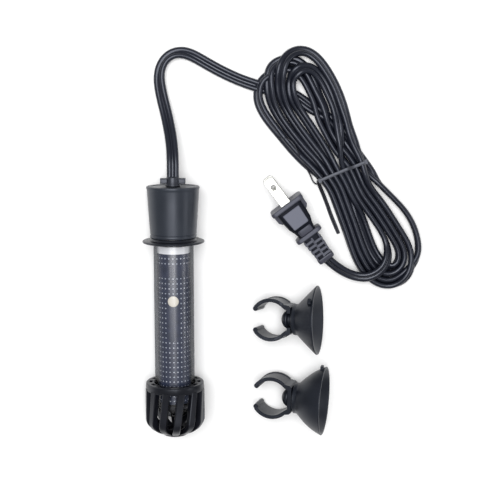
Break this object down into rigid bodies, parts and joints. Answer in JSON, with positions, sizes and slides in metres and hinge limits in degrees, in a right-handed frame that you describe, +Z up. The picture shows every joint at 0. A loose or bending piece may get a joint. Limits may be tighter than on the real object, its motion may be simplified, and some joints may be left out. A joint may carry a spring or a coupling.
{
  "type": "submersible aquarium heater",
  "caption": "Glass-tube submersible aquarium heater with a ribbed guard, separate suction-cup clips and a tied mains cord with a flat-blade plug.",
  "frame": {"origin": "on the table, under the middle of the box round the heater and its two clip sets, the cord and plug left out", "axes": "+Y along the heater towards its cord end, +X from the heater towards the clip sets, +Z up from the table"},
  "size_m": [0.1673, 0.23, 0.0398],
  "materials": {
    "cap_plastic": "satin",
    "guard_plastic": "satin",
    "clip_plastic": "satin",
    "cup_rubber": "satin",
    "seal_rubber": "matte",
    "tube_glass": "polished",
    "label_print": "satin",
    "lens_plastic": "satin",
    "lamp_plastic": "gloss",
    "board_laminate": "satin",
    "component_plastic": "matte",
    "film_plastic": "satin",
    "can_aluminium": "satin",
    "varistor_coat": "satin",
    "mica_sheet": "satin",
    "white_ceramic": "matte",
    "nichrome_wire": "satin",
    "fuse_metal": "satin",
    "glass_wool": "matte",
    "wire_brown": "satin",
    "wire_blue": "satin",
    "cord_vinyl": "satin",
    "plug_vinyl": "satin",
    "blade_metal": "satin",
    "tie_coat": "satin"
  },
  "bodies": {
    "heater": {"cap_shell": "cap_plastic", "cap_lid": "cap_plastic", "cord_gland": "cord_vinyl", "seal_plug": "seal_rubber", "seal_ring": "seal_rubber", "flange_collar": "cap_plastic", "glass_tube": "tube_glass", "label_sleeve": "label_print", "indicator_lens": "lens_plastic", "indicator_lamp": "lamp_plastic", "circuit_board": "board_laminate", "triac": "component_plastic", "control_chip": "component_plastic", "film_capacitor": "film_plastic", "smoothing_capacitor": "can_aluminium", "varistor": "varistor_coat", "thermistor": "varistor_coat", "thermal_fuse": "fuse_metal", "mica_disc": "mica_sheet", "ceramic_core": "white_ceramic", "heating_coil": "nichrome_wire", "core_disc_upper": "white_ceramic", "core_disc_lower": "white_ceramic", "base_cushion": "glass_wool", "lead_line": "wire_brown", "lead_neutral": "wire_blue", "element_lead_feed": "nichrome_wire", "element_lead_return": "nichrome_wire", "cord_exit": "cord_vinyl", "cord_hank": "cord_vinyl", "cord_tail": "cord_vinyl", "twist_tie": "tie_coat", "plug_body": "plug_vinyl", "plug_blade_upper": "blade_metal", "plug_blade_lower": "blade_metal"},
    "guard": {"guard_basket": "guard_plastic"},
    "upper_cup": {"suction_cup_upper": "cup_rubber"},
    "upper_clip": {"clip_upper": "clip_plastic"},
    "lower_cup": {"suction_cup_lower": "cup_rubber"},
    "lower_clip": {"clip_lower": "clip_plastic"}
  },
  "joints": [
    {"name": "guard_pull", "type": "slide", "parent": "heater", "child": "guard", "axis": [0, -1, 0], "range_m": [0, 0.035]},
    {"name": "upper_cup_lift", "type": "slide", "parent": "heater", "child": "upper_cup", "axis": [0, 0, 1], "range_m": [0, 0.08]},
    {"name": "upper_clip_swivel", "type": "hinge", "parent": "upper_cup", "child": "upper_clip", "pos_m": [0.0314, -0.0069, 0.0154], "axis": [0.9361, 0.0327, 0.3502], "continuous": true},
    {"name": "lower_cup_lift", "type": "slide", "parent": "heater", "child": "lower_cup", "axis": [0, 0, 1], "range_m": [0, 0.08]},
    {"name": "lower_clip_swivel", "type": "hinge", "parent": "lower_cup", "child": "lower_clip", "pos_m": [0.0319, -0.0546, 0.0145], "axis": [0.9472, -0.0331, 0.319], "continuous": true}
  ]
}
